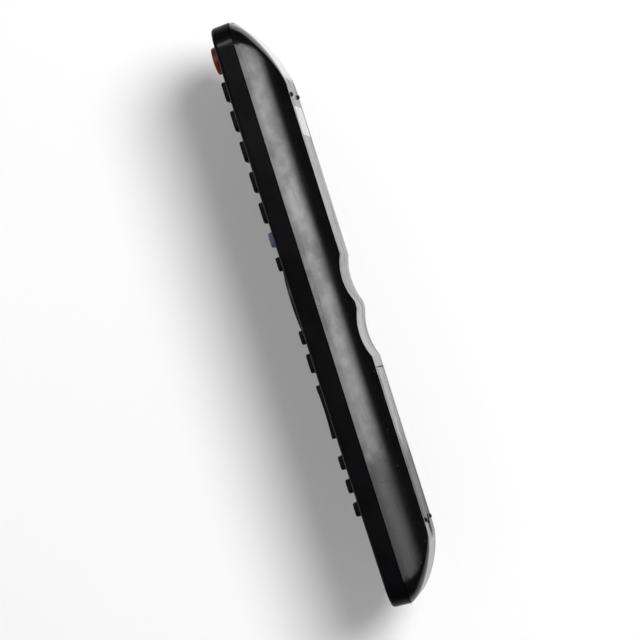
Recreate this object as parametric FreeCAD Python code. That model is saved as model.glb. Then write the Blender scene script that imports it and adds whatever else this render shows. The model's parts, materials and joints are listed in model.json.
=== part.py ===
import FreeCAD, Part
import math
import os
from FreeCAD import Vector

# Hand-held remote control with separate keys, two round cells and a hinged cell cover.
# Millimetres. +X is the right side seen from the key face, +Y the transmitting end,
# +Z the key face. Z = 0 is the surface that the four small feet stand on.

# Outside of the closed body
body_length = 220.8
body_width = 48.0
seam_rise = 13.5            # from the flat back to the joint between the two shells
plan_corner = 9.0           # corner radius of the plan outline at the seam
foot_rise = 0.9             # how far the feet stand out of the flat back

# Boat-shaped lower shell
side_radius = 22.5          # round of the long sides
side_lean = 1.9             # the sides would stand upright this far above the seam
tail_run = 22.1             # length of the curved run-in at the tail
head_run = 26.3             # and at the transmitting end
run_power = 1.45            # fullness of the run-ins
back_corner = 2.0           # corner radius where the run-in meets the flat back
section_steps = [0.0, 0.03, 0.1, 0.22, 0.4, 0.65, 1.0]
lower_side_wall = 1.7
floor_wall = 1.7

# Upper shell
upper_draft = 0.5
crown_rise = 0.55           # the key face is this much higher at mid length
face_round = 1.3
upper_side_wall = 1.7
face_wall = 1.5

# Joint between the shells
lip_rise = 1.6
lip_wall = 0.7
lip_gap = 0.1
snap_length = 6.0           # ridges on the lip that click into the upper shell
snap_height = 0.7
snap_reach = 0.35
snap_drop = 0.35            # from the lip's top edge
snaps_per_side = 4
snap_pitch = 50.0
seam_groove = 0.3
groove_depth = 0.35

# Finger hollows across the back
hollow_depth = 1.8
first_hollow = 18.1
second_hollow = 17.7
hollow_land = 2.9
hollow_from_cover = 4.0

# Cell cover
cover_from_tail = 28.0
cover_length = 57.3
cover_width = 28.6
cover_corner = 2.0
cover_wall = 1.6
cover_seam = 0.2
cover_ledge = 1.5
hook_width = 5.0
hook_reach = 1.7
hook_wall = 0.9
hook_spread = 15.6
latch_width = 11.6
latch_reach = 1.5
latch_mouth = 2.9
latch_slit = 0.8
latch_slit_length = 7.0
scoop_width = 10.8
scoop_depth = 1.3
latch_skin = 0.3            # the tongue and its mouth lie this much inside the back
hook_neck = 2.4
hook_sink = 0.2
hook_play = 0.1
rib_width = 1.0
rib_rise = 1.9
rib_from_end = 5.0
seat_side = 1.5             # the shell is thicker round the cover by this
seat_end = 2.5
seat_skin = 0.5

# Cells and their contacts
cell_diameter = 10.5
cell_length = 44.5
cell_pitch = 11.0
cell_gap = 0.35
cell_nub = 1.1
cell_nub_diameter = 3.8
cell_base_diameter = 7.6
cell_step = 0.2
cell_rim = 0.5
bay_wall = 1.2
bay_gap = 0.25
bay_from_cover_end = 1.6
spring_length = 5.6
spring_wire = 0.6
spring_large = 7.0
spring_small = 4.4
contact_sheet = 0.35
contact_width = 8.6
contact_height = 8.4
dimple_diameter = 3.2

# Circuit board and what it carries
board_gap = 0.3
board_wall = 1.2
board_side_gap = 1.0
board_corner = 3.0
board_margin = 2.0          # past the last row of keys
board_from_head = 9.0
pin_diameter = 1.6          # pins of the upper shell that place the board and the mat
pin_gap = 0.2
chip_width = 6.0
chip_length = 9.0
chip_height = 1.4
chip_lead = 1.1
chip_lead_width = 0.4
chip_lead_wall = 0.3
chip_lead_pitch = 1.27
chip_stand = 0.1
resonator_width = 5.2
resonator_length = 2.6
resonator_height = 3.4
resonator_corner = 0.8
capacitor_diameter = 5.0
capacitor_height = 5.4
capacitor_round = 0.4
led_diameter = 5.0
led_body = 5.4
led_rim = 0.45
led_rim_length = 1.0
led_gap = 0.3
led_inside = 4.4            # how far the emitter reaches back into the board's notch
led_lead = 0.5
led_lead_length = 0.8
led_lead_pitch = 2.54

# Window at the transmitting end
window_width = 20.0
window_rise = 5.4
window_corner = 1.0
window_wall = 1.5
window_nose = 0.4
window_flange = 0.9
window_seat = 0.9
window_room = 6.0

# Silicone keypad
mat_wall = 0.8
web_rise = 0.7
web_wall = 0.45
web_slope = 0.6
mat_side_gap = 0.6
core_diameter = 3.6
core_gap = 0.15
press_travel = 0.9
press_spare = 0.1

# Keys
key_rise = 2.0              # top of a key above the key face
key_gap = 0.25
key_draft = 0.3
key_edge = 0.4
flange_reach = 0.8
flange_wall = 0.8
flange_gap = 0.15
key_corner = 2.0
column_pitch = 13.2
key_width = 10.4
number_length = 8.3
upper_row_length = 7.8
colour_pitch = 9.8
colour_width = 7.2
colour_length = 5.95
colour_corner = 1.6
corner_key_spread = 29.6
corner_key_width = 7.4
corner_key_length = 5.65
lower_row_length = 7.7
small_length = 5.65
small_rise = 2.2
top_key_diameter = 10.7
top_key_spread = 28.4
top_key_rise = 2.4
top_key_dome = 0.25
top_key_edge = 0.7

# Rocking keys
tilt_degrees = 2.5
tilt_gap = 0.4
tilt_spare = 0.1
tilt_flange_wall = 0.6
rocker_length = 20.7
rocker_dip = 0.45
rocker_core_spread = 12.0
centre_pair_pitch = 11.2
ring_diameter = 28.4
ring_hole_diameter = 11.6
ring_dish = 0.5
ring_rise = 1.7
ok_diameter = 10.0
ok_flange_reach = 0.35
ok_dome = 0.35
pad_width = 2.2
pad_wall = 0.5

# Places of the key rows, each measured from the transmitting end
top_row = 12.4
upper_row = 24.2
first_number_row = 35.25
number_pitch = 11.62
colour_row = 80.45
corner_row_above = 89.6
ring_row = 103.7
corner_row_below = 117.5
lower_row = 127.3
rocker_middle = 145.7
first_small_row = 164.95
small_pitch = 8.85

# Feet
foot_diameter = 1.7
foot_stem = 1.2
foot_gap = 0.03
foot_ball = 1.2             # the domed end is rounder than the stem by this
foot_spread = 23.0
foot_from_head = 31.85
foot_from_tail = 27.05

# Cutting bodies reach this far past what they cut
overcut = 1.0

# Heights, each from the one below it
back = foot_rise
seam = back + seam_rise
cover_inside = back + cover_wall
cell_axis = cover_inside + cell_gap + cell_diameter / 2
bay_top = cell_axis + cell_diameter / 2 + cell_gap
bay_roof = bay_top + bay_wall
board_bottom = bay_roof + board_gap
board_top = board_bottom + board_wall
mat_top = board_top + mat_wall
web_top = mat_top + web_rise
flange_bottom = web_top + press_travel + press_spare
flange_top = flange_bottom + flange_wall
face_low = flange_top + flange_gap + face_wall
face_high = face_low + crown_rise

# Places along the length
tail = -body_length / 2
head = body_length / 2
shell_head = head - window_nose
cover_tail = tail + cover_from_tail
cover_head = cover_tail + cover_length
hinge_y = cover_head - cover_seam - cover_wall / 2
hinge_z = back + cover_wall / 2
bay_half = cell_pitch / 2 + cell_diameter / 2 + bay_gap
bay_length = cell_length + spring_length + 2 * contact_sheet + bay_gap
bay_tail = cover_tail + bay_from_cover_end
bay_head = bay_tail + bay_length
board_tail = head - first_small_row - 2 * small_pitch - small_length / 2 - board_margin
board_head = head - board_from_head
tilt_rise = (ring_diameter / 2 + flange_reach) * math.sin(math.radians(tilt_degrees))
tilt_drop = tilt_rise + tilt_spare - flange_gap


def rounded_outline(x, y, width, length, corner, z):
    """Level closed outline: a rectangle with round corners, or a circle."""
    if corner >= min(width, length) / 2 - 0.01:
        circle = Part.makeCircle(min(width, length) / 2, Vector(x, y, z))
        return Part.Wire([circle])
    dx = width / 2 - corner
    dy = length / 2 - corner
    edges = []
    for quarter in range(4):
        angle = 90 * quarter
        sx = 1 if quarter in (0, 3) else -1
        sy = 1 if quarter in (0, 1) else -1
        centre = Vector(x + sx * dx, y + sy * dy, z)
        arc = Part.makeCircle(corner, centre, Vector(0, 0, 1), angle, angle + 90)
        edges.append(arc)
    corners = list(edges)
    for quarter in range(4):
        start = corners[quarter].valueAt(corners[quarter].LastParameter)
        following = corners[(quarter + 1) % 4]
        finish = following.valueAt(following.FirstParameter)
        edges.insert(2 * quarter + 1, Part.makeLine(start, finish))
    return Part.Wire(edges)


def block(x, y, width, length, corner, bottom, top, inset=0.0):
    """Upright block with round corners, drawn in by the inset at its top."""
    low = rounded_outline(x, y, width, length, corner, bottom)
    if inset == 0.0:
        return Part.Face(low).extrude(Vector(0, 0, top - bottom))
    high = rounded_outline(x, y, width - 2 * inset, length - 2 * inset, corner - inset / 2, top)
    return Part.makeLoft([low, high], True, True)


def box(x0, x1, y0, y1, z0, z1):
    """Plain box between two corners."""
    return Part.makeBox(x1 - x0, y1 - y0, z1 - z0, Vector(x0, y0, z0))


def rod(x, y, diameter, bottom, top):
    """Upright round rod."""
    return Part.makeCylinder(diameter / 2, top - bottom, Vector(x, y, bottom))


def plan_block(inset, bottom, top, taper=0.0):
    """Block with the plan outline of the body, drawn in all round by the inset."""
    width = body_width - 2 * inset
    length = shell_head - tail - 2 * inset
    corner = plan_corner - inset
    return block(0, (shell_head + tail) / 2, width, length, corner, bottom, top, taper)


def crown_block(lowered):
    """Everything under the crowned key face, lowered by the given depth."""
    low = face_low - lowered
    reach = head + 2 * overcut
    bottom = back
    arc = Part.Arc(Vector(-body_width, -reach, low), Vector(-body_width, 0, low + crown_rise),
                   Vector(-body_width, reach, low)).toShape()
    corners = [Vector(-body_width, reach, low), Vector(-body_width, reach, bottom),
               Vector(-body_width, -reach, bottom), Vector(-body_width, -reach, low)]
    sides = Part.makePolygon(corners)
    profile = Part.Face(Part.Wire([arc] + sides.Edges))
    return profile.extrude(Vector(2 * body_width, 0, 0))


def hull(inset, raised):
    """Boat-shaped body below the seam: level sections joined by one smooth skin."""
    sections = []
    for step in section_steps:
        rise = step * seam_rise
        below = seam_rise + side_lean - rise
        side = math.sqrt(side_radius ** 2 - below ** 2) - math.sqrt(side_radius ** 2 - side_lean ** 2)
        width = body_width + 2 * side - 2 * inset
        share = (1 - (1 - step) ** run_power) ** (1 / run_power)
        section_tail = tail + tail_run * (1 - share) + inset
        section_head = shell_head - head_run * (1 - share) - inset
        corner = back_corner + (plan_corner - back_corner) * step
        corner = max(corner - inset, 0.5)
        middle = (section_tail + section_head) / 2
        length = section_head - section_tail
        sections.append(rounded_outline(0, middle, width, length, corner, back + rise + raised))
    return Part.makeLoft(sections, True, False)


def finger_hollows(deeper):
    """Two shallow troughs across the back, ahead of the cell cover."""
    troughs = []
    start = cover_head + hollow_from_cover
    for width in (first_hollow, second_hollow):
        depth = hollow_depth + deeper
        chord = width + 2 * deeper
        radius = (chord ** 2 / 4 + depth ** 2) / (2 * depth)
        centre = Vector(-body_width, start + width / 2, back + depth - radius)
        troughs.append(Part.makeCylinder(radius, 2 * body_width, centre, Vector(1, 0, 0)))
        start = start + width + hollow_land
    return troughs


def key_list():
    """Every plain key: name, place, width, length, corner, rise."""
    keys = []
    columns = (("left", -column_pitch), ("middle", 0.0), ("right", column_pitch))
    keys.append(("source_key", -top_key_spread / 2, head - top_row, top_key_diameter,
                 top_key_diameter, top_key_diameter, top_key_rise))
    keys.append(("power_key", top_key_spread / 2, head - top_row, top_key_diameter,
                 top_key_diameter, top_key_diameter, top_key_rise))
    for side, x in columns:
        keys.append(("upper_key_" + side, x, head - upper_row, key_width, upper_row_length,
                     key_corner, key_rise))
    labels = ("1", "2", "3", "4", "5", "6", "7", "8", "9", "dash", "0", "recall")
    for place, label in enumerate(labels):
        row = place // 3
        x = columns[place % 3][1]
        y = head - first_number_row - row * number_pitch
        keys.append(("number_key_" + label, x, y, key_width, number_length, key_corner, key_rise))
    for place, colour in enumerate(("red", "green", "yellow", "blue")):
        x = (place - 1.5) * colour_pitch
        keys.append((colour + "_key", x, head - colour_row, colour_width, colour_length,
                     colour_corner, key_rise))
    for row, y in (("menu_side", corner_row_above), ("exit_side", corner_row_below)):
        for side, sign in (("left", -1), ("right", 1)):
            keys.append((row + "_key_" + side, sign * corner_key_spread / 2, head - y,
                         corner_key_width, corner_key_length, colour_corner, key_rise))
    for side, x in columns:
        keys.append(("lower_key_" + side, x, head - lower_row, key_width, lower_row_length,
                     key_corner, key_rise))
    for name, sign in (("mute_key", 1), ("info_key", -1)):
        y = head - rocker_middle + sign * centre_pair_pitch / 2
        keys.append((name, 0.0, y, key_width, lower_row_length, key_corner, key_rise))
    for row in range(3):
        for side, x in columns:
            y = head - first_small_row - row * small_pitch
            keys.append(("play_key_%d_%s" % (row + 1, side), x, y, key_width, small_length,
                         colour_corner, small_rise))
    keys.append(("ok_key", 0.0, head - ring_row, ok_diameter, ok_diameter, ok_diameter, ring_rise))
    return keys


def face_height(y):
    """Height of the key face at a place along the length."""
    reach = head + 2 * overcut
    radius = (reach ** 2 + crown_rise ** 2) / (2 * crown_rise)
    return face_high - radius + math.sqrt(radius ** 2 - y ** 2)


def plain_key(x, y, width, length, corner, rise):
    """Key cap with its retaining flange and the core that closes the contact."""
    top = face_height(y) + rise
    cap = block(x, y, width, length, corner, flange_top, top, key_draft)
    rim = [edge for edge in cap.Edges if edge.BoundBox.ZMin > top - key_edge]
    cap = cap.makeFillet(key_edge, rim)
    flange = block(x, y, width + 2 * flange_reach, length + 2 * flange_reach,
                   corner + flange_reach, flange_bottom, flange_top)
    core = rod(x, y, core_diameter, board_top + press_travel + press_spare, flange_bottom)
    return cap.fuse([flange, core]).removeSplitter()


def round_rim(x, y, radius, z, edge):
    """Quarter arc round the outer rim of a turned profile, level where it ends at z."""
    share = math.sqrt(0.5)
    middle = Vector(x + radius - edge + edge * share, y, z - edge + edge * share)
    return Part.Arc(Vector(x + radius, y, z - edge), middle, Vector(x + radius - edge, y, z)).toShape()


def domed_key(x, y, diameter, rise, dome, edge, reach_out):
    """Round key: a profile turned about its own axis, with a low dome on top."""
    top = face_height(y) + rise
    radius = diameter / 2
    rim = radius - key_draft
    core = core_diameter / 2
    low = board_top + press_travel + press_spare
    reach = radius + reach_out
    points = [(0, low), (core, low), (core, flange_bottom), (reach, flange_bottom),
              (reach, flange_top), (radius, flange_top), (rim, top - dome - edge)]
    corners = [Vector(x + r, y, z) for r, z in points]
    sides = Part.makePolygon(corners).Edges + [round_rim(x, y, rim, top - dome, edge)]
    ball = ((rim - edge) ** 2 + dome ** 2) / (2 * dome)
    lean = math.asin((rim - edge) / ball) / 2
    middle = Vector(x + ball * math.sin(lean), y, top - ball + ball * math.cos(lean))
    crest = Vector(x, y, top)
    arc = Part.Arc(Vector(x + rim - edge, y, top - dome), middle, crest).toShape()
    axis = Part.makeLine(crest, corners[0])
    profile = Part.Face(Part.Wire(sides + [arc, axis]))
    return profile.revolve(Vector(x, y, 0), Vector(0, 0, 1), 360)


def rocker_key(x):
    """Long key that rocks about its middle, with a dished top and two cores."""
    y = head - rocker_middle
    top = face_height(y) + key_rise
    low_flange = flange_top - tilt_drop
    cap = block(x, y, key_width, rocker_length, key_corner, low_flange, top, key_draft)
    radius = (rocker_length ** 2 / 4 + rocker_dip ** 2) / (2 * rocker_dip)
    centre = Vector(x - key_width, y, top - rocker_dip + radius)
    cap = cap.cut(Part.makeCylinder(radius, 2 * key_width, centre, Vector(1, 0, 0)))
    flange = block(x, y, key_width + 2 * flange_reach, rocker_length + 2 * flange_reach,
                   key_corner + flange_reach, low_flange - tilt_flange_wall, low_flange)
    solid = cap.fuse(flange)
    for sign in (-1, 1):
        solid = solid.fuse(rod(x, y + sign * rocker_core_spread / 2, core_diameter,
                               board_top + tilt_gap, low_flange - tilt_flange_wall))
    return solid.removeSplitter()


def nav_ring():
    """Ring that rocks four ways: a turned profile with a dished top."""
    y = head - ring_row
    top = face_height(y) + ring_rise
    outer = ring_diameter / 2
    inner = ring_hole_diameter / 2
    low_flange = flange_top - tilt_drop
    bottom = low_flange - tilt_flange_wall
    reach = outer + flange_reach
    rim = outer - key_draft
    outline = [(inner, bottom), (reach, bottom), (reach, low_flange), (outer, low_flange),
               (rim, top - key_edge)]
    corners = [Vector(r, y, z) for r, z in outline]
    start = Vector(rim - key_edge, y, top)
    inside = Vector(inner + key_edge, y, top - ring_dish)
    middle = Vector((start.x + inside.x) / 2, y, top - ring_dish * 0.75)
    curves = [round_rim(0, y, rim, top, key_edge), Part.Arc(start, middle, inside).toShape()]
    last = Part.makePolygon([inside, Vector(inner, y, top - ring_dish - key_edge), corners[0]])
    profile = Part.Face(Part.Wire(Part.makePolygon(corners).Edges + curves + last.Edges))
    return profile.revolve(Vector(0, y, 0), Vector(0, 0, 1), 360)


def nav_pad():
    """Cushion ring between the navigation ring and the mat."""
    y = head - ring_row
    inner = ring_hole_diameter / 2 + key_edge
    bottom = mat_top + tilt_gap
    ring = rod(0, y, 2 * (inner + pad_width), bottom, bottom + pad_wall)
    return ring.cut(rod(0, y, 2 * inner, bottom - overcut, bottom + pad_wall + overcut))


def key_openings():
    """Holes that the keys pass through, as one list of upright blocks."""
    holes = []
    low = flange_top - overcut
    high = face_high + overcut
    for name, x, y, width, length, corner, rise in key_list():
        if name == "ok_key":
            continue
        holes.append(block(x, y, width + 2 * key_gap, length + 2 * key_gap, corner + key_gap,
                           low, high))
    for sign in (-1, 1):
        holes.append(block(sign * column_pitch, head - rocker_middle, key_width + 2 * tilt_gap,
                           rocker_length + 2 * tilt_gap, key_corner + tilt_gap, low, high))
    holes.append(rod(0, head - ring_row, ring_diameter + 2 * tilt_gap, low, high))
    return holes


def window_block(grow, y0, y1):
    """Cross-section of the window, drawn out along the length."""
    z = (board_bottom + board_top) / 2
    width = window_width + 2 * grow
    rise = window_rise + 2 * grow
    flat = block(0, 0, width, rise, window_corner + grow, 0, y1 - y0)
    flat.rotate(Vector(0, 0, 0), Vector(1, 0, 0), 90)
    flat.translate(Vector(0, y1, z))
    return flat


def window_pocket():
    """Room that both shells leave for the window and its inner flange."""
    inner = shell_head - max(upper_side_wall, lower_side_wall)
    opening = window_block(lip_gap, inner - window_room, head + overcut)
    seat = window_block(window_flange + lip_gap, inner - window_room, shell_head - window_seat)
    return opening.fuse(seat)


def ir_window():
    """Dark lens across the transmitting end, bowed outwards."""
    front = window_block(0, shell_head - window_wall, head + overcut)
    flange = window_block(window_flange, shell_head - window_seat - window_wall,
                          shell_head - window_seat - lip_gap)
    z = (board_bottom + board_top) / 2
    bow = (window_rise ** 2 / 4 + window_nose ** 2) / (2 * window_nose)
    drum = Part.makeCylinder(bow, 2 * body_width, Vector(-body_width, head - bow, z), Vector(1, 0, 0))
    return front.common(drum).fuse(flange).removeSplitter()


def pin_places():
    """Pins of the upper shell, in the gaps between rows and columns of keys."""
    places = []
    for y in (head - first_number_row - number_pitch / 2, head - first_small_row - small_pitch / 2):
        places += [(-column_pitch / 2, y), (column_pitch / 2, y)]
    return places


def snap_ridges(grown):
    """Ridges along both sides of the lip, or their pockets when grown."""
    ridges = []
    side = body_width / 2 - upper_side_wall + lip_wall
    top = seam + lip_rise - snap_drop + grown
    for place in range(snaps_per_side):
        y = (place - (snaps_per_side - 1) / 2) * snap_pitch
        reach = side + snap_reach + grown
        for inner, outer in ((side - lip_wall / 2, reach), (-reach, lip_wall / 2 - side)):
            ridges.append(box(inner, outer, y - snap_length / 2 - grown, y + snap_length / 2 + grown,
                              top - snap_height - 2 * grown, top))
    return ridges


def foot_places():
    """Four feet, two near each end of the flat back."""
    places = []
    for y in (tail + foot_from_tail, head - foot_from_head):
        places += [(-foot_spread / 2, y), (foot_spread / 2, y)]
    return places


def top_case():
    """Upper shell: crowned face, key openings, placing pins and the stepped rim."""
    outer = plan_block(0, seam, face_high + overcut, upper_draft).common(crown_block(0))
    rim = []
    for edge in outer.Edges:
        if edge.BoundBox.ZMin > face_low - upper_draft:
            rim.append(edge)
    outer = outer.makeFillet(face_round, rim)
    inner = plan_block(upper_side_wall, seam - overcut, face_high).common(crown_block(face_wall))
    step = plan_block(upper_side_wall - lip_wall - lip_gap, seam - overcut, seam + lip_rise + lip_gap)
    shell = outer.cut([inner, step])
    pins = [rod(x, y, pin_diameter, board_bottom, face_low) for x, y in pin_places()]
    cuts = key_openings() + [window_pocket()] + snap_ridges(lip_gap)
    return shell.fuse(pins).cut(cuts).removeSplitter()


def bottom_case():
    """Lower shell: boat-shaped skin, lip, cell bay and the seat of the cover."""
    middle = (cover_tail + cover_head) / 2
    cavity = hull(lower_side_wall, floor_wall).cut(finger_hollows(floor_wall))
    lip = plan_block(upper_side_wall - lip_wall, seam - lip_wall, seam + lip_rise)
    solid = hull(0, 0).cut(finger_hollows(0)).fuse([lip] + snap_ridges(0)).cut(cavity)
    rim = plan_block(-overcut, seam - seam_groove, seam)
    solid = solid.cut(rim.cut(plan_block(groove_depth, seam - overcut, seam + overcut)))
    seat = block(0, middle, cover_width + 2 * seat_side, cover_length + 2 * seat_end,
                 cover_corner + seat_side, back + seat_skin, cover_inside + cover_ledge)
    bay = box(-bay_half - bay_wall, bay_half + bay_wall, bay_tail - bay_wall, bay_head + bay_wall,
              back + seat_skin, bay_roof)
    solid = solid.fuse([seat.common(hull(seat_skin, 0)), bay])
    cuts = [block(0, middle, cover_width, cover_length, cover_corner, back - overcut, cover_inside)]
    cuts.append(box(-cover_width / 2, cover_width / 2, cover_head - 2 * cover_corner, cover_head,
                    back - overcut, cover_inside))
    cuts.append(box(-bay_half, bay_half, bay_tail, bay_head, back, bay_top))
    cuts += [latch_mouth_block(), scoop(), window_pocket()] + hook_pockets()
    for x, y in foot_places():
        cuts.append(rod(x, y, foot_diameter + 2 * foot_gap, back - overcut, back + foot_stem))
    return solid.cut(cuts).removeSplitter()


def latch_mouth_block():
    """Slot in the lower shell that the latch tongue reaches into."""
    return box(-latch_width / 2 - cover_seam, latch_width / 2 + cover_seam,
               cover_tail - latch_mouth, cover_tail + overcut, back - overcut,
               cover_inside + latch_skin)


def scoop():
    """Thumb hollow behind the latch: half a flat bowl."""
    wide = scoop_width / 2
    radius = (wide ** 2 + scoop_depth ** 2) / (2 * scoop_depth)
    edge = cover_tail - latch_mouth
    ball = Part.makeSphere(radius, Vector(0, edge, back + scoop_depth - radius), Vector(1, 0, 0))
    return ball.common(box(-2 * wide, 2 * wide, edge - 2 * wide, edge + overcut,
                           back - overcut, back + scoop_depth + overcut))


def hook_pockets():
    """Room ahead of the cover's hinge edge for its two hooks to turn in."""
    pockets = []
    for sign in (-1, 1):
        x = sign * hook_spread / 2
        wide = hook_width / 2 + cover_seam
        turn = hook_reach + cover_wall / 2 + hook_wall + cover_seam
        pocket = Part.makeCylinder(turn, 2 * wide, Vector(x - wide, hinge_y, hinge_z), Vector(1, 0, 0))
        pockets.append(pocket.common(box(x - wide, x + wide, hinge_y - turn, hinge_y + turn,
                                         cover_inside, cover_inside + turn)))
    return pockets


def battery_cover():
    """Cover with a round hinge edge, two hooks, a stiffening rib and a latch tongue."""
    start = cover_tail + cover_seam
    width = cover_width - 2 * cover_seam
    plate = block(0, (start + hinge_y) / 2, width, hinge_y - start, cover_corner - cover_seam,
                  back, cover_inside)
    square = box(-width / 2, width / 2, hinge_y - cover_corner, hinge_y, back, cover_inside)
    edge = Part.makeCylinder(cover_wall / 2, width, Vector(-width / 2, hinge_y, hinge_z), Vector(1, 0, 0))
    pieces = [square, edge]
    for sign in (-1, 1):
        left = sign * hook_spread / 2 - hook_width / 2
        right = left + hook_width
        pieces.append(box(left, right, hinge_y - hook_neck, hinge_y,
                          cover_inside - hook_sink, cover_inside + hook_wall))
        pieces.append(box(left, right, hinge_y, hinge_y + hook_reach,
                          cover_inside + hook_play, cover_inside + hook_wall))
    pieces.append(box(-rib_width / 2, rib_width / 2, bay_tail + rib_from_end, bay_head - rib_from_end,
                      cover_inside - hook_sink, cover_inside + rib_rise))
    pieces.append(box(-latch_width / 2, latch_width / 2, cover_tail - latch_reach, start + overcut,
                      back + latch_skin, cover_inside))
    slits = []
    for sign in (-1, 1):
        x = sign * (latch_width + latch_slit) / 2
        slits.append(block(x, start + (latch_slit_length - overcut) / 2, latch_slit,
                           latch_slit_length + overcut, latch_slit / 2.1, back - overcut,
                           cover_inside + overcut))
    return plate.fuse(pieces).cut(slits).removeSplitter()


def battery_cell(x, turned):
    """One cell along the length: can, raised contact and flat base."""
    start = bay_tail + contact_sheet
    spring_end = bay_tail + contact_sheet + spring_length
    base = spring_end if not turned else start + cell_length
    way = 1 if not turned else -1
    radius = cell_diameter / 2
    can = cell_length - cell_nub
    base_radius = cell_base_diameter / 2
    nub = cell_nub_diameter / 2
    points = [(0, 0), (base_radius, 0), (base_radius + cell_step, cell_step),
              (radius - cell_rim, cell_step), (radius, cell_rim), (radius, can - cell_rim),
              (radius - cell_rim, can), (nub, can), (nub, cell_length - cell_step),
              (nub - cell_step, cell_length), (0, cell_length), (0, 0)]
    corners = [Vector(x + r, base + way * along, cell_axis) for r, along in points]
    profile = Part.Face(Part.makePolygon(corners))
    return profile.revolve(Vector(x, base, cell_axis), Vector(0, 1, 0), 360)


def contact_plate(x, y):
    """Sheet contact that stands against an end wall of the bay."""
    z = bay_top - contact_height
    return box(x - contact_width / 2, x + contact_width / 2, y, y + contact_sheet, z, bay_top)


def spring_cone(x, y, way):
    """Tapered spring as a hollow cone of its outer form."""
    outer = Part.makeCone(spring_large / 2, spring_small / 2, spring_length,
                          Vector(x, y, cell_axis), Vector(0, way, 0))
    inner = Part.makeCone(spring_large / 2 - spring_wire, spring_small / 2 - spring_wire,
                          spring_length, Vector(x, y, cell_axis), Vector(0, way, 0))
    return outer.cut(inner)


def battery_springs():
    """Negative contacts: a plate and a spring for each cell."""
    x = cell_pitch / 2
    low = bay_tail
    high = bay_head
    first = contact_plate(-x, low).fuse(spring_cone(-x, low + contact_sheet, 1))
    second = contact_plate(x, high - contact_sheet).fuse(spring_cone(x, high - contact_sheet, -1))
    return Part.Compound([first, second])


def battery_plates():
    """Positive contacts: a plate with a pressed dimple for each cell."""
    x = cell_pitch / 2
    low = contact_plate(x, bay_tail)
    high = contact_plate(-x, bay_head - contact_sheet)
    high = high.fuse(Part.makeCylinder(dimple_diameter / 2, bay_gap,
                                       Vector(-x, bay_head - contact_sheet, cell_axis),
                                       Vector(0, -1, 0)))
    return Part.Compound([low, high])


def board_cuts(top):
    """Notch for the emitter and holes for the placing pins."""
    notch = led_diameter + 2 * led_gap
    depth = led_inside + led_lead_length
    cuts = [box(-notch / 2, notch / 2, board_head - depth, board_head + overcut,
                board_bottom - overcut, top + overcut)]
    for x, y in pin_places():
        cuts.append(rod(x, y, pin_diameter + 2 * pin_gap, board_bottom - overcut, top + overcut))
    return cuts


def circuit_board():
    """Board under the keypad."""
    width = body_width - 2 * upper_side_wall - 2 * board_side_gap
    board = block(0, (board_tail + board_head) / 2, width, board_head - board_tail, board_corner,
                  board_bottom, board_top)
    return board.cut(board_cuts(board_top))


def core_places():
    """Where the cores of the keys reach through the mat."""
    places = [(x, y) for name, x, y, width, length, corner, rise in key_list()]
    for sign in (-1, 1):
        for way in (-1, 1):
            y = head - rocker_middle + way * rocker_core_spread / 2
            places.append((sign * column_pitch, y))
    return places


def keypad_mat():
    """Silicone sheet with a raised web round the core of every key."""
    width = body_width - 2 * upper_side_wall - 2 * board_side_gap
    sheet = block(0, (board_tail + board_head) / 2, width, board_head - board_tail, board_corner,
                  board_top, mat_top)
    webs = []
    holes = board_cuts(web_top)
    inner = core_diameter / 2 + core_gap
    for x, y in core_places():
        webs.append(Part.makeCone(inner + web_wall + web_slope, inner + web_wall, web_top - mat_top,
                                  Vector(x, y, mat_top)))
        holes.append(rod(x, y, 2 * inner, board_top - overcut, web_top + overcut))
    return sheet.fuse(webs).cut(holes)


def ir_led():
    """Emitter: round lens body with its rim and two leads in the board's notch."""
    z = (board_bottom + board_top) / 2
    start = board_head - led_inside
    radius = (led_diameter - led_rim) / 2
    straight = led_body - radius
    along = Vector(0, 1, 0)
    lens = Part.makeCylinder(radius, straight, Vector(0, start, z), along)
    dome = Part.makeSphere(radius, Vector(0, start + straight, z))
    rim = Part.makeCylinder(led_diameter / 2, led_rim_length, Vector(0, start, z), along)
    body = lens.fuse([dome, rim])
    for sign in (-1, 1):
        x = sign * led_lead_pitch / 2
        body = body.fuse(box(x - led_lead / 2, x + led_lead / 2, start - led_lead_length,
                             start + led_lead, z - led_lead / 2, z + led_lead / 2))
    return body.removeSplitter()


def controller_chip():
    """Control chip under the board, with two rows of leads."""
    y = head - first_number_row - number_pitch
    body = box(-chip_width / 2, chip_width / 2, y - chip_length / 2, y + chip_length / 2,
               board_bottom - chip_height, board_bottom - chip_stand)
    leads = []
    count = int(chip_length / chip_lead_pitch) - 1
    reach = chip_width / 2 + chip_lead
    for place in range(count):
        middle = y + (place - (count - 1) / 2) * chip_lead_pitch
        leads.append(box(-reach, reach, middle - chip_lead_width / 2, middle + chip_lead_width / 2,
                         board_bottom - chip_lead_wall, board_bottom))
    return body.fuse(leads).removeSplitter()


def resonator():
    """Small ceramic resonator under the board."""
    y = head - first_number_row - 2 * number_pitch
    return block(0, y, resonator_width, resonator_length, resonator_corner,
                 board_bottom - resonator_height, board_bottom)


def capacitor():
    """Round smoothing capacitor under the board."""
    can = rod(0, head - upper_row, capacitor_diameter, board_bottom - capacitor_height, board_bottom)
    rim = [edge for edge in can.Edges if edge.BoundBox.ZMax < board_bottom - capacitor_height / 2]
    return can.makeFillet(capacitor_round, rim)


def rest_feet():
    """Small domed feet pressed into the flat back."""
    feet = []
    ball_radius = foot_ball * foot_diameter / 2
    for x, y in foot_places():
        dome = Part.makeSphere(ball_radius, Vector(x, y, ball_radius))
        dome = dome.common(rod(x, y, foot_diameter, 0, ball_radius))
        stem = rod(x, y, foot_diameter, ball_radius / 2, back + foot_stem)
        feet.append(stem.fuse(dome).removeSplitter())
    return Part.Compound(feet)


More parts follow.
